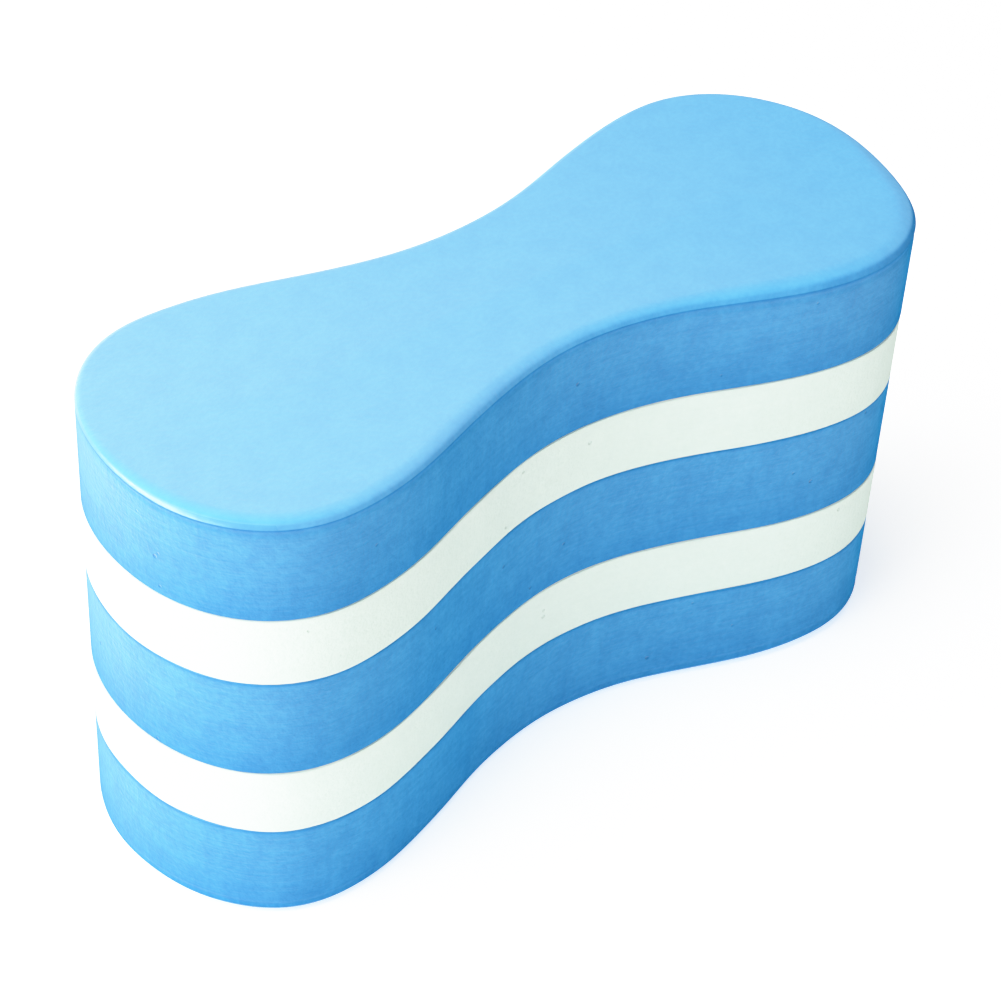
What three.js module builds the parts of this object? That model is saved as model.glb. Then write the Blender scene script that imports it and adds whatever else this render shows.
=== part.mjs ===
// A pull buoy: the foam float that a swimmer holds between the thighs.
//
// Five slabs of closed-cell foam are glued into one block, blue at the bottom, middle and top with
// white between them. Seen from above, the block has two round lobes and a narrow waist.
//
// Units are millimetres. +X runs along the float, +Y goes to its back and +Z goes up. The origin is
// in the middle of the underside, so the float stands on z = 0.

import * as THREE from 'three';

// ---------------------------------------------------------------------------
// Driving dimensions
// ---------------------------------------------------------------------------

const LENGTH = 240;
const HEIGHT = 130;

// Half widths, from the long axis out to the side. The float is cut by hand, so its right lobe is a
// little fuller than the left one, and its front waist is a little deeper than the back one.
const RIGHT_LOBE_HALF_WIDTH = 46;
const LEFT_LOBE_HALF_WIDTH = 44.5;
const FRONT_WAIST_HALF_WIDTH = 25.8;
const BACK_WAIST_HALF_WIDTH = 29.2;

// How far from the middle each lobe is at its widest.
const LOBE_STATION = 82;

// How round the outline is: how far each curve keeps to its starting direction.
const TIP_FULLNESS = 22.5;
const LOBE_OUTER_FULLNESS = 24.8;
const LOBE_INNER_FULLNESS = 27.6;
const WAIST_FULLNESS = 32;

// The stack. The three blue slabs share what the white slabs and the glue leave.
const WHITE_THICKNESS = 20;
const GLUE_THICKNESS = 0.2;
const BLUE_THICKNESS = (HEIGHT - 2 * WHITE_THICKNESS - 4 * GLUE_THICKNESS) / 3;

// The rounding of the float's outer edges, top and bottom.
const EDGE_RADIUS = 3;

// The glue stops just short of the cut wall.
const GLUE_SETBACK = 0.6;

// How finely curved surfaces are divided.
const STATIONS_PER_QUARTER = 40;
const STEPS_PER_ROUNDING = 6;

const QUARTER_TURN = Math.PI / 2;

// ---------------------------------------------------------------------------
// Materials
// ---------------------------------------------------------------------------

function blueFoam() {
  return new THREE.MeshStandardMaterial({ color: 0x5fb4ee, roughness: 0.85, metalness: 0 });
}

function whiteFoam() {
  return new THREE.MeshStandardMaterial({ color: 0xf1f4ee, roughness: 0.85, metalness: 0 });
}

function dryGlue() {
  return new THREE.MeshStandardMaterial({ color: 0xe6dfc4, roughness: 0.5, metalness: 0 });
}

// ---------------------------------------------------------------------------
// The outline
// ---------------------------------------------------------------------------

// One quarter of the outline, from the right lobe's tip round to the middle of the back waist.
function quarterCurve(lobeHalfWidth, waistHalfWidth) {
  const halfLength = LENGTH / 2;
  const lobeEnd = new THREE.CubicBezierCurve(
    new THREE.Vector2(halfLength, 0),
    new THREE.Vector2(halfLength, TIP_FULLNESS),
    new THREE.Vector2(LOBE_STATION + LOBE_OUTER_FULLNESS, lobeHalfWidth),
    new THREE.Vector2(LOBE_STATION, lobeHalfWidth),
  );
  const flank = new THREE.CubicBezierCurve(
    new THREE.Vector2(LOBE_STATION, lobeHalfWidth),
    new THREE.Vector2(LOBE_STATION - LOBE_INNER_FULLNESS, lobeHalfWidth),
    new THREE.Vector2(WAIST_FULLNESS, waistHalfWidth),
    new THREE.Vector2(0, waistHalfWidth),
  );
  const curve = new THREE.CurvePath();
  curve.add(lobeEnd);
  curve.add(flank);
  return curve;
}

// Points along one quarter, each with the direction that faces out of the foam. sideX and sideY
// mirror the quarter into place.
function quarterStations(lobeHalfWidth, waistHalfWidth, sideX, sideY) {
  const curve = quarterCurve(lobeHalfWidth, waistHalfWidth);
  const stations = [];
  for (let i = 0; i <= STATIONS_PER_QUARTER; i += 1) {
    const along = i / STATIONS_PER_QUARTER;
    const point = curve.getPoint(along);
    const heading = curve.getTangent(along);
    stations.push({
      x: point.x * sideX,
      y: point.y * sideY,
      outX: heading.y * sideX,
      outY: -heading.x * sideY,
    });
  }
  return stations;
}

// The whole outline, anticlockwise from the right tip. Each quarter's last station is the next
// one's first, so it is left off.
function outlineStations() {
  const backRight = quarterStations(RIGHT_LOBE_HALF_WIDTH, BACK_WAIST_HALF_WIDTH, 1, 1);
  const backLeft = quarterStations(LEFT_LOBE_HALF_WIDTH, BACK_WAIST_HALF_WIDTH, -1, 1).reverse();
  const frontLeft = quarterStations(LEFT_LOBE_HALF_WIDTH, FRONT_WAIST_HALF_WIDTH, -1, -1);
  const frontRight = quarterStations(RIGHT_LOBE_HALF_WIDTH, FRONT_WAIST_HALF_WIDTH, 1, -1).reverse();
  return [backRight, backLeft, frontLeft, frontRight].flatMap((quarter) => quarter.slice(0, -1));
}

// ---------------------------------------------------------------------------
// Solids
// ---------------------------------------------------------------------------

// A closed solid from rings of the outline, lowest ring first. Each ring has a height z and an
// inset, which is how far it lies inside the full outline.
function solidFromRings(outline, rings) {
  const count = outline.length;
  const positions = [];
  const faces = [];

  for (const ring of rings) {
    for (const station of outline) {
      const x = station.x - station.outX * ring.inset;
      const y = station.y - station.outY * ring.inset;
      positions.push(x, y, ring.z);
    }
  }

  for (let level = 0; level < rings.length - 1; level += 1) {
    for (let i = 0; i < count; i += 1) {
      const next = (i + 1) % count;
      const low = level * count;
      const high = low + count;
      faces.push(low + i, low + next, high + next);
      faces.push(low + i, high + next, high + i);
    }
  }

  const topStart = (rings.length - 1) * count;
  const bottomRing = positions.slice(0, 3 * count);
  const topRing = positions.slice(3 * topStart);
  for (const [a, b, c] of flatFace(bottomRing)) {
    faces.push(a, c, b);
  }
  for (const [a, b, c] of flatFace(topRing)) {
    faces.push(topStart + a, topStart + b, topStart + c);
  }

  const geometry = new THREE.BufferGeometry();
  geometry.setAttribute('position', new THREE.Float32BufferAttribute(positions, 3));
  geometry.setIndex(faces);
  geometry.computeVertexNormals();
  return geometry;
}

// The triangles that fill one flat ring, anticlockwise seen from above.
function flatFace(ring) {
  const corners = [];
  for (let i = 0; i < ring.length; i += 3) {
    corners.push(new THREE.Vector2(ring[i], ring[i + 1]));
  }
  return THREE.ShapeUtils.triangulateShape(corners, []);
}

// The rings of a slab between two heights, with either edge rounded by EDGE_RADIUS.
function slabRings(bottom, top, roundBottom, roundTop) {
  const rings = [];
  if (roundBottom) {
    for (let step = 0; step < STEPS_PER_ROUNDING; step += 1) {
      const turn = QUARTER_TURN * (step / STEPS_PER_ROUNDING);
      rings.push({
        z: bottom + EDGE_RADIUS * (1 - Math.cos(turn)),
        inset: EDGE_RADIUS * (1 - Math.sin(turn)),
      });
    }
    rings.push({ z: bottom + EDGE_RADIUS, inset: 0 });
  } else {
    rings.push({ z: bottom, inset: 0 });
  }
  if (roundTop) {
    for (let step = 0; step < STEPS_PER_ROUNDING; step += 1) {
      const turn = QUARTER_TURN * (step / STEPS_PER_ROUNDING);
      rings.push({
        z: top - EDGE_RADIUS * (1 - Math.sin(turn)),
        inset: EDGE_RADIUS * (1 - Math.cos(turn)),
      });
    }
    rings.push({ z: top, inset: EDGE_RADIUS });
  } else {
    rings.push({ z: top, inset: 0 });
  }
  return rings;
}

function foamSlab(outline, layer, bottom, top) {
  const rings = slabRings(bottom, top, layer.roundBottom, layer.roundTop);
  const slab = new THREE.Mesh(solidFromRings(outline, rings), layer.foam());
  slab.name = layer.name;
  return slab;
}

function glueFilm(outline, name, bottom, top) {
  const rings = [
    { z: bottom, inset: GLUE_SETBACK },
    { z: top, inset: GLUE_SETBACK },
  ];
  const film = new THREE.Mesh(solidFromRings(outline, rings), dryGlue());
  film.name = name;
  return film;
}

// ---------------------------------------------------------------------------
// The stack, from the bottom up
// ---------------------------------------------------------------------------

const LAYERS = [
  {
    name: 'bottom_blue_foam_slab',
    thickness: BLUE_THICKNESS,
    foam: blueFoam,
    roundBottom: true,
    glueAbove: 'glue_film_under_lower_white',
  },
  {
    name: 'lower_white_foam_slab',
    thickness: WHITE_THICKNESS,
    foam: whiteFoam,
    glueAbove: 'glue_film_over_lower_white',
  },
  {
    name: 'middle_blue_foam_slab',
    thickness: BLUE_THICKNESS,
    foam: blueFoam,
    glueAbove: 'glue_film_under_upper_white',
  },
  {
    name: 'upper_white_foam_slab',
    thickness: WHITE_THICKNESS,
    foam: whiteFoam,
    glueAbove: 'glue_film_over_upper_white',
  },
  {
    name: 'top_blue_foam_slab',
    thickness: BLUE_THICKNESS,
    foam: blueFoam,
    roundTop: true,
  },
];

function pullBuoy() {
  const float = new THREE.Group();
  float.name = 'pull_buoy';
  const outline = outlineStations();
  let bottom = 0;
  for (const layer of LAYERS) {
    const top = bottom + layer.thickness;
    float.add(foamSlab(outline, layer, bottom, top));
    bottom = top;
    if (layer.glueAbove) {
      const glueTop = bottom + GLUE_THICKNESS;
      float.add(glueFilm(outline, layer.glueAbove, bottom, glueTop));
      bottom = glueTop;
    }
  }
  return float;
}

export default pullBuoy();
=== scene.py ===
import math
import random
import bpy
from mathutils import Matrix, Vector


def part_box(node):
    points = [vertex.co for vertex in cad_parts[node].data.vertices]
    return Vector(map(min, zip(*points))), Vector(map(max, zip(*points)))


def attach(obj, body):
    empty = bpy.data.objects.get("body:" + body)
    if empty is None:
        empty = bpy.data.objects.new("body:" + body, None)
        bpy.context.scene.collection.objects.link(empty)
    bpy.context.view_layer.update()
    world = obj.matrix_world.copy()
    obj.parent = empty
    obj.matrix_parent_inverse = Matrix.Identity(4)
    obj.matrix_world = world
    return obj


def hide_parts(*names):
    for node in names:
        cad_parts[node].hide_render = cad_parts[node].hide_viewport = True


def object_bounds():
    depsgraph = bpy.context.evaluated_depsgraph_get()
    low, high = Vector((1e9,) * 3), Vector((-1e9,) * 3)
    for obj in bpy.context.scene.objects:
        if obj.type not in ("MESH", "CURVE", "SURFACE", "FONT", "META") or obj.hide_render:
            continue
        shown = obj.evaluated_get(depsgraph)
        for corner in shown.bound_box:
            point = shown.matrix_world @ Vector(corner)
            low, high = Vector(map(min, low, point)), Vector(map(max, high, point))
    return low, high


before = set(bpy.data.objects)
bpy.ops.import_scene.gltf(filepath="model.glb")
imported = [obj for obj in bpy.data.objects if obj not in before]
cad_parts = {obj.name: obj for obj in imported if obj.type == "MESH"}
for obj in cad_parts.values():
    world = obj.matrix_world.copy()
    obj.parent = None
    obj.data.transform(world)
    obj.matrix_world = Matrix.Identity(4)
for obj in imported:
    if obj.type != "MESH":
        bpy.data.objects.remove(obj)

# A laminated foam pull buoy on a pale floor, seen from above its front left corner.
#
# Each foam slab of the CAD model is replaced by a finely meshed one: its cut wall is a little
# wavy, its glued edges are eased, and the outer edges roll over to a shallow crease. Lengths are
# in metres. +X runs along the float, +Y goes to its back and +Z goes up.

from types import SimpleNamespace

import bpy
import numpy as np
from mathutils import Matrix, Vector

CAD_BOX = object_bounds()
MM = 0.001


# ---------------------------------------------------------------------------
# Sizes and colours
# ---------------------------------------------------------------------------

# The rolled outer edge: a quarter ellipse that runs into a straight lip, then a crease where the lip
# meets the wall and a shallow groove under it, both darkened with painted shade. The roll is slight
# at the back and fullest on the right lobe.
ROLL_WIDTH = 3.6 * MM
ROLL_DROP = 1.9 * MM
ROLL_STOP = math.radians(18)
ROLL_STEPS = 12
LIP_LENGTH = 0.9 * MM
LIP_STEPS = 3
BACK_FULLNESS = 0.45
RIGHT_LOBE_SWELL = 0.60
ROLL_UNEVENNESS = 0.06
CREASE_RADIUS = 0.4 * MM
CREASE_STEPS = 3
GROOVE_REACH = 2.4 * MM
GROOVE_DEPTH = 0.18 * MM
GROOVE_STEPS = 8

# The easing where two slabs meet, how far the wall beside it is darkened up or down, and how dark the
# wall gets towards the foot of each slab, where 1 is the fullest darkening.
SEAM_EASING = 0.25 * MM
SEAM_DARKENING_REACH = 1.4 * MM
FOOT_DARKENING = 0.7

# How uneven the hand cut is: how far a slab's wall may stand back as a whole, how far it wavers
# along its way round, and how far a face sinks between its rim and its middle.
SLAB_OFFSET = 0.10 * MM
CUT_WAVINESS = 0.10 * MM
FACE_WAVINESS = 0.15 * MM

# Random waves round the outline: the fewest and the most crests, and how many waves are added.
ROLL_WAVES = (2, 9, 4)
CUT_WAVES = (6, 22, 5)
FACE_WAVES = (2, 7, 4)

# Mesh fineness, and how sharp an edge has to be to stay sharp.
POINTS_PER_SPAN = 4
WALL_STEP = 1.5 * MM
FACE_RINGS = 24
SHARP_ANGLE = math.radians(50)

# The rings of a face close in on a line down its middle. These are the line's share of the
# float's length, and how much of the way to it the last ring goes.
MIDDLE_LINE = 0.62
FACE_CLOSURE = 0.98

# Foam colours, linear red, green and blue. The blue face colour is paler than the wall colour, partly
# as the skin's own tone and partly as painted light on the upturned faces.
BLUE_WALL = (0.038, 0.286, 0.580)
BLUE_FACE_WITH_PAINTED_LIGHT = (0.074, 0.416, 0.790)
WHITE_WALL = (0.685, 0.785, 0.715)

# What counts as wall, face or roll, by how level the surface is: 0 is upright and 1 is level.
# Each is a range over which the surface turns from one into the other.
LEVEL_AT_WALL_END = (0.10, 0.30)
LEVEL_AT_FACE_START = (0.35, 0.90)
LEVEL_AT_ROLL_START = (0.20, 0.45)
LEVEL_AT_ROLL_END = (0.65, 0.85)

# Handling has polished the roll from here to the left. From here to the right, the roll is darkened
# with painted shade, as it faces away from the light.
POLISH_ALONG = (-80 * MM, -105 * MM)
RIGHT_ROLL_SHADE_ALONG = (55 * MM, 110 * MM)

# The wall's sheen is painted sheen: it is strongest where the wall faces left, towards the light, and
# fades lower down and at the back, down to these shares. The faces' sheen is painted sheen too,
# stronger at the left end than at the right one and weaker on the roll that faces right.
LEFT_WALL_PAINTED_SHEEN = 0.57
PAINTED_SHEEN_AT_FOOT = 0.55
PAINTED_SHEEN_AT_BACK = 0.35
FACE_PAINTED_SHEEN_ALONG = (1.28, 0.44)
PAINTED_SHEEN_AT_RIGHT_ROLL = 0.2
SHEEN_WHERE_DARKENED = 0.3

# How many of each mark fit in a metre of foam, and how deep they are.
CLOUDS_PER_METRE = 130
MOTTLES_PER_METRE = 700
GRAINS_PER_METRE = 1500
BLADE_MARKS_PER_METRE = 900
DRAG_MARKS_PER_METRE = 300
PITS_PER_METRE = 170
MOTTLE_DEPTH = 0.18 * MM
GRAIN_DEPTH = 0.04 * MM
BLADE_MARK_DEPTH = 0.12 * MM
DRAG_MARK_DEPTH = 0.10 * MM
PIT_DEPTH = 0.3 * MM

# How coarse the grain and the mottling are on a face and on the polished roll, where 1 is as
# coarse as on the wall.
FACE_COARSENESS = 0.4
POLISHED_COARSENESS = 0.2

# How strongly each mark tints the foam: two values are for the wall and for a face.
CLOUD_TINT = (0.65, 0.40)
MOTTLE_TINT = (0.60, 0.35)
BLADE_MARK_TINT = 0.35
DRAG_MARK_TINT = 0.3
PIT_TINT = 0.8

# Surface roughness.
FOAM_ROUGHNESS = 0.60
POLISHED_ROUGHNESS = 0.21
SHEEN_ROUGHNESS = 0.6
FLOOR_ROUGHNESS = 0.9

# The floor glows by this much, which keeps its shadow pale.
FLOOR_GLOW = 0.55
FLOOR_HALF_WIDTH = 20.0

# The brightness of the studio walls at the left, at the right and along the horizon, and the
# heights between which the horizon fades into the walls: 0 is level and 1 is overhead.
STUDIO_LEFT = 0.56
STUDIO_RIGHT = 0.10
STUDIO_HORIZON = 0.93
HORIZON_FADE = (0.14, 0.24)

# How bright a surface is shown, for how bright it is; WHITE_POINT and brighter are pure white.
WHITE_POINT = 1.5
TONES = ((0.30, 0.30), (0.50, 0.50), (0.70, 0.69), (0.85, 0.81), (1.00, 0.90), (1.20, 0.97))

# The camera stands off the front left corner and is tilted a little.
CAMERA_AZIMUTH = -41.3
CAMERA_ELEVATION = 40.14
CAMERA_ROLL = 3.41
CAMERA_DISTANCE = 0.740
CAMERA_LENS = 100.6
CAMERA_AIM = Vector((-0.0022, -0.0012, 0.0618))


# ---------------------------------------------------------------------------
# The outline, taken from the CAD model
# ---------------------------------------------------------------------------

def cad_outline(node):
    """The corners of a plain slab's lowest ring, anticlockwise from the right tip."""
    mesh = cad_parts[node].data
    points = np.array([vertex.co[:] for vertex in mesh.vertices])
    lowest = points[:, 2].min() + 0.1 * MM
    ring = points[points[:, 2] < lowest][:, :2]
    ring = np.unique(np.round(ring, 7), axis=0)
    turn = np.arctan2(ring[:, 1], ring[:, 0])
    return ring[np.argsort(turn % (2 * math.pi))]


def smooth_loop(corners, per_span):
    """A closed Catmull-Rom curve through the corners, with per_span points a span."""
    before, start, end, after = (np.roll(corners, shift, axis=0) for shift in (1, 0, -1, -2))
    loop = []
    for step in range(per_span):
        t = step / per_span
        loop.append(0.5 * (
            2 * start
            + (end - before) * t
            + (2 * before - 5 * start + 4 * end - after) * t ** 2
            + (3 * start - before - 3 * end + after) * t ** 3
        ))
    return np.stack(loop, axis=1).reshape(-1, 2)


def outward(loop):
    """The unit normals of an anticlockwise loop."""
    heading = np.roll(loop, -1, axis=0) - np.roll(loop, 1, axis=0)
    heading /= np.linalg.norm(heading, axis=1)[:, None]
    return np.stack([heading[:, 1], -heading[:, 0]], axis=1)


OUTLINE = smooth_loop(cad_outline("middle_blue_foam_slab"), POINTS_PER_SPAN)
OUTWARD = outward(OUTLINE)
AROUND = np.linspace(0, 2 * math.pi, len(OUTLINE), endpoint=False)


def waves(dice, lowest, highest, count):
    """A gentle random wave round the outline, between about -1 and 1."""
    total = np.zeros(len(OUTLINE))
    for _ in range(count):
        total += np.sin(dice.randint(lowest, highest) * AROUND + dice.uniform(0, 2 * math.pi))
    return total / math.sqrt(count)


def roll_fullness(dice):
    """How full the rolled edge is at each point of the outline: about 1 at the front."""
    right = np.clip(OUTLINE[:, 0] / OUTLINE[:, 0].max(), 0, 1)
    front = np.clip(0.5 - OUTLINE[:, 1] / OUTLINE[:, 1].max(), 0, 1)
    front = front * front * (3 - 2 * front)
    fullness = BACK_FULLNESS + (1 - BACK_FULLNESS + RIGHT_LOBE_SWELL * right ** 2) * front
    return fullness * (1 + ROLL_UNEVENNESS * waves(dice, *ROLL_WAVES))


# ---------------------------------------------------------------------------
# Edges: rings of (inset from the wall, distance from the face, darkening), wall first
# ---------------------------------------------------------------------------

def rolled_edge():
    """The groove, the crease, the lip and the roll of an outer edge, with painted shade in the groove
    and the crease.
    """
    slope = math.atan2(ROLL_WIDTH * math.sin(ROLL_STOP), ROLL_DROP * math.cos(ROLL_STOP))
    crease_inset = CREASE_RADIUS * (1 - math.cos(slope))
    lip_inset = crease_inset + LIP_LENGTH * math.sin(slope)
    lip_top = ROLL_DROP * (1 - math.sin(ROLL_STOP))
    lip_foot = lip_top + LIP_LENGTH * math.cos(slope)
    crease_foot = lip_foot + CREASE_RADIUS * math.sin(slope)
    rings = []
    for step in range(GROOVE_STEPS):
        below = GROOVE_REACH * (1 - step / GROOVE_STEPS)
        hollow = math.sin(math.pi * below / GROOVE_REACH) ** 2
        # Painted shade, deepening up the groove towards the crease.
        darkening = (1 - below / GROOVE_REACH) ** 2
        rings.append((GROOVE_DEPTH * hollow, crease_foot + below, darkening))
    for step in range(CREASE_STEPS):
        turn = slope * step / CREASE_STEPS
        inset = CREASE_RADIUS * (1 - math.cos(turn))
        # The crease takes full painted shade.
        rings.append((inset, crease_foot - CREASE_RADIUS * math.sin(turn), 1.0))
    for step in range(LIP_STEPS):
        along = LIP_LENGTH * step / LIP_STEPS
        inset = crease_inset + along * math.sin(slope)
        rings.append((inset, lip_foot - along * math.cos(slope), 0.0))
    for step in range(ROLL_STEPS + 1):
        turn = ROLL_STOP + (math.pi / 2 - ROLL_STOP) * step / ROLL_STEPS
        inset = lip_inset + ROLL_WIDTH * (math.cos(ROLL_STOP) - math.cos(turn))
        rings.append((inset, ROLL_DROP * (1 - math.sin(turn)), 0.0))
    return rings


def seam_edge():
    """The eased edge of a glued face, with the wall darkened beside it."""
    return [
        (0.0, SEAM_DARKENING_REACH, 0.0),
        (0.0, 0.5 * SEAM_DARKENING_REACH, 0.35),
        (0.0, SEAM_EASING, 1.0),
        (0.3 * SEAM_EASING, 0.3 * SEAM_EASING, 1.0),
        (SEAM_EASING, 0.0, 1.0),
    ]


# ---------------------------------------------------------------------------
# Slabs
# ---------------------------------------------------------------------------

def edge_loops(edge, face_height, side, wall, fullness):
    """Loops for one edge, wall first. side is 1 at an upper face and -1 at a lower one."""
    loops = []
    for inset, distance, darkening in edge:
        flat = wall - OUTWARD * (inset * fullness)[:, None]
        heights = face_height - side * distance * fullness
        loops.append((np.column_stack([flat, heights]), darkening))
    return loops


def wall_loops(below, above):
    """Evenly spaced loops between the wall loops of the two edges."""
    count = max(2, round(np.min(above[:, 2] - below[:, 2]) / WALL_STEP))
    return [(below + (above - below) * step / count, 0.0) for step in range(1, count)]


def darken_foot(loops, low, high):
    """The same loops, darkened more and more towards the foot of the slab."""
    darkened = []
    for points, darkening in loops:
        drop = (high - points[:, 2].mean()) / (high - low)
        darkened.append((points, max(darkening, FOOT_DARKENING * drop ** 2)))
    return darkened


def face_loops(rim, shown, side, dice):
    """Loops that carry a flat face from its rim in to a line down its middle."""
    reach = MIDDLE_LINE * OUTLINE[:, 0].max()
    middle = np.zeros_like(rim[:, :2])
    middle[:, 0] = np.clip(rim[:, 0], -reach, reach)
    swell = waves(dice, *FACE_WAVES)
    count = FACE_RINGS if shown else 1
    loops = []
    for step in range(1, count + 1):
        share = FACE_CLOSURE * step / count
        flat = rim[:, :2] * (1 - share) + middle * share
        sag = FACE_WAVINESS * math.sin(math.pi * share) * (1 + 0.5 * swell) if shown else 0.0
        loops.append((np.column_stack([flat, rim[:, 2] - side * sag]), 0.0))
    return loops


def slab(node, foam, low_rolled, high_rolled, seed):
    """A foam slab in the place of its CAD node."""
    dice = random.Random(seed)
    low, high = (corner.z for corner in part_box(node))
    lowest_cut = SLAB_OFFSET + 2 * CUT_WAVINESS
    wavering = CUT_WAVINESS * waves(dice, *CUT_WAVES)
    cut = wavering + dice.uniform(-1, 1) * SLAB_OFFSET - lowest_cut
    wall = OUTLINE + OUTWARD * cut[:, None]
    even = np.ones(len(OUTLINE))

    edges = []
    for rolled, height, side in ((low_rolled, low, -1), (high_rolled, high, 1)):
        edge = rolled_edge() if rolled else seam_edge()
        fullness = roll_fullness(dice) if rolled else even
        edges.append(edge_loops(edge, height, side, wall, fullness))
    lower, upper = edges
    loops = face_loops(lower[-1][0], low_rolled, -1, dice)[::-1] + lower[::-1]
    loops += wall_loops(lower[0][0], upper[0][0])
    loops += upper + face_loops(upper[-1][0], high_rolled, 1, dice)
    loops = darken_foot(loops, low, high)

    piece = closed_mesh(node.replace("_foam", ""), loops)
    piece.data.materials.append(foam)
    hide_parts(node)
    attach(piece, "root")


def closed_mesh(name, loops):
    """A closed mesh from loops of equal length, lowest first, with their darkening, which is partly
    painted shade.
    """
    count = len(loops[0][0])
    points = np.concatenate([loop for loop, _ in loops])
    stains = np.repeat([darkening for _, darkening in loops], count)
    faces = [tuple(reversed(range(count)))]
    for level in range(len(loops) - 1):
        low = level * count
        high = low + count
        for i in range(count):
            after = (i + 1) % count
            faces.append((low + i, low + after, high + after, high + i))
    last = len(points) - count
    faces.append(tuple(range(last, last + count)))

    mesh = bpy.data.meshes.new(name)
    mesh.from_pydata(points.tolist(), [], faces)
    mesh.attributes.new("darkening", "FLOAT", "POINT").data.foreach_set("value", stains)
    mesh.shade_smooth()
    mesh.set_sharp_from_angle(angle=SHARP_ANGLE)
    piece = bpy.data.objects.new(name, mesh)
    bpy.context.scene.collection.objects.link(piece)
    return piece


# ---------------------------------------------------------------------------
# Materials
# ---------------------------------------------------------------------------

class Nodes:
    """The node tree of a material or a world, with short ways to add and join nodes."""

    def __init__(self, owner, shader="Principled BSDF"):
        owner.use_nodes = True
        self.tree = owner.node_tree
        self.shader = self.tree.nodes[shader]

    def add(self, kind, **settings):
        """A new node, with its settings."""
        node = self.tree.nodes.new("ShaderNode" + kind)
        for key, value in settings.items():
            setattr(node, key, value)
        return node

    def feed(self, socket, value):
        """Join another node's output to the socket, or give it a plain value."""
        if isinstance(value, bpy.types.NodeSocket):
            self.tree.links.new(value, socket)
        else:
            socket.default_value = value

    def set(self, **values):
        """Feed inputs of the shader, named with _ for each space."""
        for name, value in values.items():
            self.feed(self.shader.inputs[name.replace("_", " ")], value)

    def place(self, stretch):
        """Object coordinates, scaled by a different amount along each axis."""
        mapping = self.add("Mapping")
        self.feed(mapping.inputs["Vector"], self.add("TexCoord").outputs["Object"])
        self.feed(mapping.inputs["Scale"], stretch)
        return mapping.outputs["Vector"]

    def noise(self, scale, detail=4.0, roughness=0.55, stretch=(1, 1, 1)):
        """Soft random patches, between 0 and 1."""
        node = self.add("TexNoise")
        self.feed(node.inputs["Vector"], self.place(stretch))
        self.feed(node.inputs["Scale"], scale)
        self.feed(node.inputs["Detail"], detail)
        self.feed(node.inputs["Roughness"], roughness)
        return node.outputs["Fac"]

    def cells(self, scale):
        """Distance from the middle of the nearest foam cell, and a random number for the cell."""
        node = self.add("TexVoronoi")
        self.feed(node.inputs["Vector"], self.place((1, 1, 1)))
        self.feed(node.inputs["Scale"], scale)
        chance = self.add("SeparateColor")
        self.feed(chance.inputs[0], node.outputs["Color"])
        return node.outputs["Distance"], chance.outputs[0]

    def split(self, vector):
        """The X, Y and Z of a vector."""
        node = self.add("SeparateXYZ")
        self.feed(node.inputs[0], vector)
        return node.outputs

    def math(self, operation, first, second=0.0):
        """The outcome of a sum, product or comparison of two values."""
        node = self.add("Math", operation=operation)
        self.feed(node.inputs[0], first)
        self.feed(node.inputs[1], second)
        return node.outputs[0]

    def span(self, value, low, high, to_low=0.0, to_high=1.0):
        """value, moved from the range low to high into the range to_low to to_high."""
        node = self.add("MapRange", clamp=True)
        for name, given in (
            ("Value", value),
            ("From Min", low),
            ("From Max", high),
            ("To Min", to_low),
            ("To Max", to_high),
        ):
            self.feed(node.inputs[name], given)
        return node.outputs["Result"]

    def mix(self, share, first, second, blend="MIX"):
        """The first colour where share is 0, blended with the second where it is 1."""
        node = self.add("Mix", data_type="RGBA", blend_type=blend)
        self.feed(node.inputs["Factor"], share)
        self.feed(node.inputs[6], first)
        self.feed(node.inputs[7], second)
        return node.outputs[2]

    def tint(self, share, colour, by):
        """colour, multiplied by another colour where share is 1."""
        return self.mix(share, colour, rgba(by), "MULTIPLY")

    def bump(self, height, depth, under=None):
        """A surface that rises by depth where height is 1, on top of another relief."""
        node = self.add("Bump")
        self.feed(node.inputs["Height"], height)
        self.feed(node.inputs["Distance"], depth)
        if under is not None:
            self.feed(node.inputs["Normal"], under)
        return node.outputs["Normal"]


def rgba(colour):
    """An opaque colour."""
    return (*colour, 1.0)


def foam_zones(nodes):
    """Where the foam is wall, face or roll, where it is polished, where the right roll has painted
    shade, and where it is darkened.
    """
    facing = nodes.split(nodes.add("NewGeometry").outputs["Normal"])
    place = nodes.split(nodes.add("TexCoord").outputs["Object"])
    level = nodes.math("ABSOLUTE", facing["Z"])
    rolled = nodes.math(
        "MULTIPLY",
        nodes.span(level, *LEVEL_AT_ROLL_START),
        nodes.span(level, *LEVEL_AT_ROLL_END, 1.0, 0.0),
    )
    # Painted shade on the roll at the right end, which faces away from the light.
    right_roll_shade = nodes.math("MULTIPLY", rolled, nodes.span(place["X"], *RIGHT_ROLL_SHADE_ALONG))
    # The mesh's darkening: painted shade at the crease and the groove, and darkening beside the seams
    # and towards each slab's foot.
    painted = nodes.add("Attribute", attribute_name="darkening").outputs["Fac"]
    return SimpleNamespace(
        facing=facing,
        place=place,
        wall=nodes.span(level, *LEVEL_AT_WALL_END, 1.0, 0.0),
        face=nodes.span(level, *LEVEL_AT_FACE_START),
        polish=nodes.math("MULTIPLY", rolled, nodes.span(place["X"], *POLISH_ALONG)),
        right_roll_shade=right_roll_shade,
        darkening=nodes.math("MAXIMUM", painted, right_roll_shade),
    )


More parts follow.
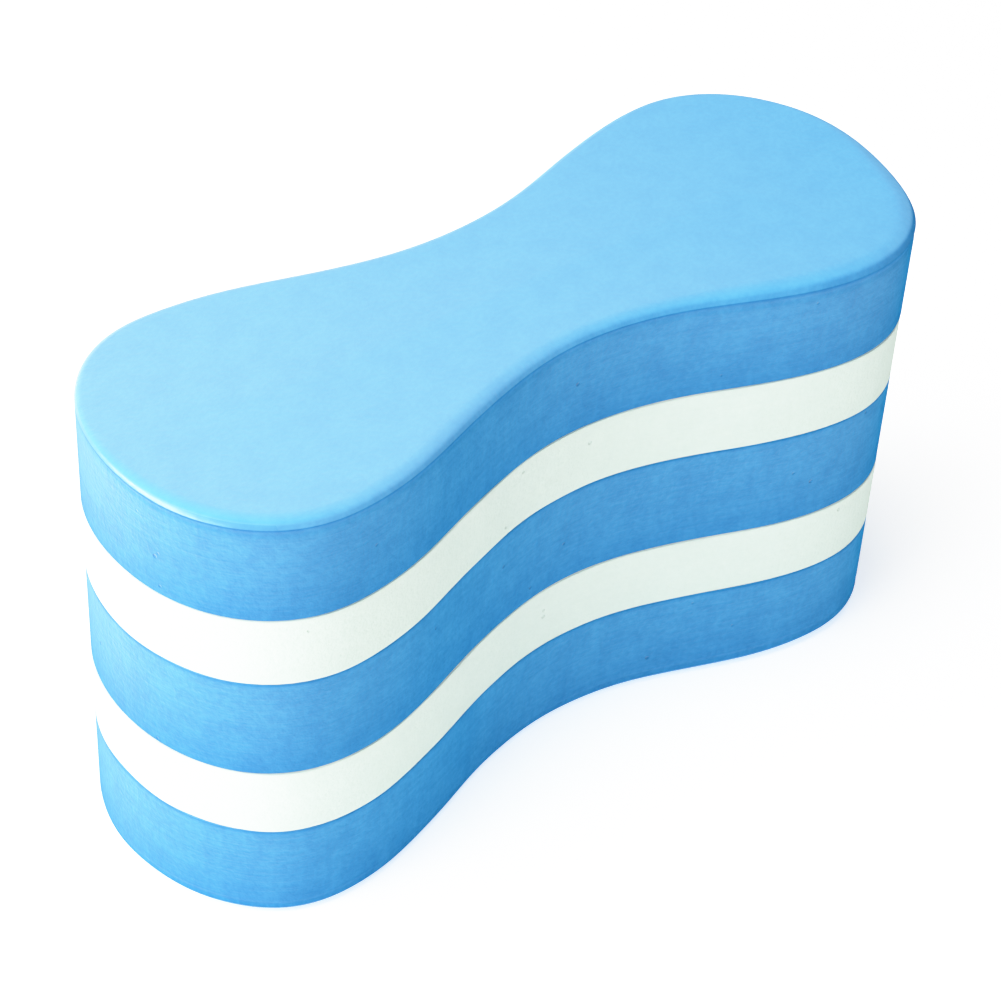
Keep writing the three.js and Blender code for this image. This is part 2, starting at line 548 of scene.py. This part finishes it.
def foam_velvet_and_painted_sheen(nodes, zones, sheen):
    """How velvety the foam looks: painted sheen on the wall where it faces left and on the faces
    towards the left end, less where the foam is darkened.
    """
    low, high = CAD_BOX
    # Painted sheen, strongest on walls that face left, towards the light.
    wall_painted_sheen = nodes.span(zones.facing["X"], 0.5, -0.6, 0.0, LEFT_WALL_PAINTED_SHEEN)
    for sheen_fade in (
        nodes.span(zones.place["Z"], low.z, high.z, PAINTED_SHEEN_AT_FOOT, 1.0),
        nodes.span(zones.facing["Y"], 0.0, 0.65, 1.0, PAINTED_SHEEN_AT_BACK),
    ):
        wall_painted_sheen = nodes.math("MULTIPLY", wall_painted_sheen, sheen_fade)
    # Painted sheen on the faces, stronger at the left end and weaker on the roll that faces right.
    face_painted_sheen = nodes.math(
        "MULTIPLY",
        nodes.span(zones.facing["X"], 0.7, 0.1, PAINTED_SHEEN_AT_RIGHT_ROLL, 1.0),
        nodes.span(zones.place["X"], low.x, high.x, *FACE_PAINTED_SHEEN_ALONG),
    )
    return nodes.math(
        "MULTIPLY",
        nodes.span(zones.face, 0.0, 1.0, wall_painted_sheen, face_painted_sheen),
        nodes.span(zones.darkening, 0.0, 1.0, sheen, SHEEN_WHERE_DARKENED * sheen),
    )


def foam_marks(nodes, zones):
    """The patterns of the foam. Blade marks, drag marks and pits are on the cut wall only."""
    distance, chance = nodes.cells(PITS_PER_METRE)
    pits = nodes.math(
        "MULTIPLY",
        nodes.span(distance, 0.05, 0.11, 1.0, 0.0),
        nodes.math("GREATER_THAN", chance, 0.86),
    )
    return SimpleNamespace(
        clouds=nodes.noise(CLOUDS_PER_METRE, detail=5, roughness=0.6),
        mottle=nodes.noise(MOTTLES_PER_METRE, detail=3, roughness=0.5),
        grain=nodes.cells(GRAINS_PER_METRE)[0],
        blade=nodes.noise(BLADE_MARKS_PER_METRE, detail=2, stretch=(0.04, 0.04, 1)),
        drag=nodes.noise(DRAG_MARKS_PER_METRE, detail=3, roughness=0.6, stretch=(1, 1, 0.12)),
        pits=nodes.math("MULTIPLY", pits, zones.wall),
    )


def foam_colour(nodes, zones, marks, wall, face, depth_and_shade_tint, pit_and_shade_tint):
    """The foam's colour, tinted by its marks, paler on the faces partly by painted light, with
    painted shade at the crease, the groove and the right roll, and darker beside the seams and
    towards the slab feet.
    """
    cloud_tint = nodes.span(zones.face, 0.0, 1.0, *CLOUD_TINT)
    mottle_tint = nodes.span(zones.face, 0.0, 1.0, *MOTTLE_TINT)
    clouds = nodes.span(marks.clouds, 0.40, 0.62, 0.0, cloud_tint)
    mottle = nodes.span(marks.mottle, 0.40, 0.60, 0.0, mottle_tint)
    blade = nodes.span(marks.blade, 0.45, 0.65, 0.0, BLADE_MARK_TINT)
    drag = nodes.span(marks.drag, 0.45, 0.65, 0.0, DRAG_MARK_TINT)

    # The paler face colour is partly painted light on the upturned faces.
    colour = nodes.mix(zones.face, rgba(wall), rgba(face))
    colour = nodes.tint(clouds, colour, depth_and_shade_tint)
    colour = nodes.tint(mottle, colour, depth_and_shade_tint)
    colour = nodes.tint(nodes.math("MULTIPLY", blade, zones.wall), colour, depth_and_shade_tint)
    colour = nodes.tint(nodes.math("MULTIPLY", drag, zones.wall), colour, depth_and_shade_tint)
    colour = nodes.tint(nodes.math("MULTIPLY", marks.pits, PIT_TINT), colour, pit_and_shade_tint)
    # Painted shade on the right end of the roll.
    colour = nodes.tint(zones.right_roll_shade, colour, depth_and_shade_tint)
    # Painted shade at the crease, the groove and the right roll; darkening beside the seams and
    # towards each slab's foot.
    return nodes.tint(zones.darkening, colour, pit_and_shade_tint)


def foam_relief(nodes, zones, marks):
    """The foam's grain, with the marks of the cut and the pits on the wall."""
    coarseness = nodes.math(
        "MULTIPLY",
        nodes.span(zones.face, 0.0, 1.0, 1.0, FACE_COARSENESS),
        nodes.span(zones.polish, 0.0, 1.0, 1.0, POLISHED_COARSENESS),
    )
    grain = nodes.math("MULTIPLY", marks.grain, coarseness)
    relief = nodes.bump(grain, GRAIN_DEPTH)
    mottle = nodes.math("MULTIPLY", marks.mottle, coarseness)
    relief = nodes.bump(mottle, MOTTLE_DEPTH, relief)
    blade = nodes.math("MULTIPLY", marks.blade, zones.wall)
    relief = nodes.bump(blade, BLADE_MARK_DEPTH, relief)
    drag = nodes.math("MULTIPLY", marks.drag, zones.wall)
    relief = nodes.bump(drag, DRAG_MARK_DEPTH, relief)
    return nodes.bump(nodes.math("MULTIPLY", marks.pits, -1.0), PIT_DEPTH, relief)


def foam_material(name, slot, wall, face, gloss, sheen, depth_and_shade_tint, pit_and_shade_tint):
    """Closed-cell foam: cloudy colour, a smooth skin on the faces whose paler colour is partly
    painted light, cut marks and pits on the wall.
    """
    material = bpy.data.materials.new(name)
    material["slot"] = slot
    nodes = Nodes(material)
    zones = foam_zones(nodes)
    marks = foam_marks(nodes, zones)
    nodes.set(
        Base_Color=foam_colour(nodes, zones, marks, wall, face, depth_and_shade_tint, pit_and_shade_tint),
        Roughness=nodes.span(zones.polish, 0.0, 1.0, FOAM_ROUGHNESS, POLISHED_ROUGHNESS),
        Specular_IOR_Level=nodes.math("MULTIPLY", zones.polish, gloss),
        Sheen_Weight=foam_velvet_and_painted_sheen(nodes, zones, sheen),
        Sheen_Roughness=SHEEN_ROUGHNESS,
        Normal=foam_relief(nodes, zones, marks),
    )
    return material


def dry_glue():
    """Contact adhesive: thin, yellowish and slightly glossy, with brush marks."""
    material = bpy.data.materials.new("dry_glue")
    nodes = Nodes(material)
    brushed = nodes.noise(300, stretch=(0.2, 1, 1))
    nodes.set(
        Base_Color=nodes.mix(brushed, rgba((0.62, 0.60, 0.50)), rgba((0.74, 0.72, 0.62))),
        Roughness=nodes.span(brushed, 0.3, 0.7, 0.35, 0.55),
        Normal=nodes.bump(brushed, 0.00005),
    )
    return material


def pale_floor():
    """A plain pale floor with a faint mist in its colour."""
    material = bpy.data.materials.new("pale_floor")
    nodes = Nodes(material)
    mist = nodes.noise(6, detail=2)
    nodes.set(
        Base_Color=nodes.mix(mist, rgba((0.90, 0.90, 0.90)), rgba((0.93, 0.93, 0.93))),
        Roughness=FLOOR_ROUGHNESS,
        Specular_IOR_Level=0.1,
        Emission_Color=rgba((1, 1, 1)),
        Emission_Strength=FLOOR_GLOW,
    )
    return material


# ---------------------------------------------------------------------------
# The float
# ---------------------------------------------------------------------------

def make_float():
    """The five foam slabs, and the glue films in their own material."""
    blue = foam_material(
        "blue_eva_foam", "blue_foam", BLUE_WALL, BLUE_FACE_WITH_PAINTED_LIGHT,
        gloss=0.9, sheen=1.0, depth_and_shade_tint=(0.60, 0.85, 0.91), pit_and_shade_tint=(0.70, 0.80, 0.89),
    )
    white = foam_material(
        "white_eva_foam", "white_foam", WHITE_WALL, WHITE_WALL,
        gloss=0.0, sheen=0.2, depth_and_shade_tint=(0.975, 0.980, 0.980), pit_and_shade_tint=(0.96, 0.97, 0.97),
    )
    slab("bottom_blue_foam_slab", blue, low_rolled=True, high_rolled=False, seed=11)
    slab("lower_white_foam_slab", white, low_rolled=False, high_rolled=False, seed=12)
    slab("middle_blue_foam_slab", blue, low_rolled=False, high_rolled=False, seed=13)
    slab("upper_white_foam_slab", white, low_rolled=False, high_rolled=False, seed=14)
    slab("top_blue_foam_slab", blue, low_rolled=False, high_rolled=True, seed=15)

    glue = dry_glue()
    for name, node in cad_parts.items():
        if name.startswith("glue_film"):
            node.data.materials.clear()
            node.data.materials.append(glue)


# ---------------------------------------------------------------------------
# The studio
# ---------------------------------------------------------------------------

def make_floor():
    """A wide flat floor under the float."""
    half = FLOOR_HALF_WIDTH
    corners = [(-half, -half, 0), (half, -half, 0), (half, half, 0), (-half, half, 0)]
    mesh = bpy.data.meshes.new("floor")
    mesh.from_pydata(corners, [], [(0, 1, 2, 3)])
    mesh.materials.append(pale_floor())
    floor = bpy.data.objects.new("floor", mesh)
    floor.location.z = CAD_BOX[0].z
    bpy.context.scene.collection.objects.link(floor)


def softbox(name, place, width, height, watts):
    """A flat light that faces the float."""
    light = bpy.data.lights.new(name, "AREA")
    light.shape = "RECTANGLE"
    light.size = width
    light.size_y = height
    light.energy = watts
    lamp = bpy.data.objects.new(name, light)
    middle = (CAD_BOX[0] + CAD_BOX[1]) / 2
    lamp.location = place
    lamp.rotation_euler = (middle - Vector(place)).to_track_quat("-Z", "Y").to_euler()
    bpy.context.scene.collection.objects.link(lamp)


def make_lights():
    """Soft light from above and from the left, a strip that draws the left lip, and a weak fill."""
    softbox("overhead_softbox", (-0.35, 0.10, 1.25), width=0.90, height=0.90, watts=13.5)
    softbox("left_softbox", (-0.70, 0.20, 0.55), width=0.45, height=0.45, watts=2.5)
    softbox("left_strip", (-0.90, 0.14, 0.30), width=1.30, height=0.12, watts=5.8)
    softbox("front_fill", (0.10, -1.20, 0.50), width=0.80, height=0.80, watts=1.9)


def make_studio_walls():
    """A pale world: brighter at the left than at the right, and white along the horizon."""
    world = bpy.data.worlds.new("white_studio")
    nodes = Nodes(world, "Background")
    direction = nodes.split(nodes.add("TexCoord").outputs["Generated"])
    walls = nodes.span(direction["X"], -1.0, 1.0, STUDIO_LEFT, STUDIO_RIGHT)
    nodes.set(
        Color=rgba((1, 1, 1)),
        Strength=nodes.span(direction["Z"], *HORIZON_FADE, STUDIO_HORIZON, walls),
    )
    bpy.context.scene.world = world


def make_camera():
    """A camera that looks at CAMERA_AIM from the given direction and distance."""
    azimuth = math.radians(CAMERA_AZIMUTH)
    elevation = math.radians(CAMERA_ELEVATION)
    back = Vector((
        math.sin(azimuth) * math.cos(elevation),
        -math.cos(azimuth) * math.cos(elevation),
        math.sin(elevation),
    ))
    level = Vector((math.cos(azimuth), math.sin(azimuth), 0))
    upright = back.cross(level)
    tilt = Matrix.Rotation(math.radians(CAMERA_ROLL), 3, back)
    turned = Matrix((tilt @ level, tilt @ upright, back)).transposed().to_4x4()
    data = bpy.data.cameras.new("camera")
    data.lens = CAMERA_LENS
    data.clip_start = 0.05
    data.clip_end = 100
    camera = bpy.data.objects.new("camera", data)
    camera.matrix_world = Matrix.Translation(CAMERA_AIM + back * CAMERA_DISTANCE) @ turned
    bpy.context.scene.collection.objects.link(camera)
    bpy.context.scene.camera = camera


def soften_highlights():
    """Show plain colours, and let the brightest tones run gently into white."""
    view = bpy.context.scene.view_settings
    view.view_transform = "Standard"
    view.use_curve_mapping = True
    tones = view.curve_mapping
    tones.white_level = (WHITE_POINT, WHITE_POINT, WHITE_POINT)
    curve = tones.curves[3]
    for seen, shown in TONES:
        curve.points.new(seen / WHITE_POINT, shown)
    tones.update()


make_camera()
make_float()
make_floor()
make_lights()
make_studio_walls()
soften_highlights()
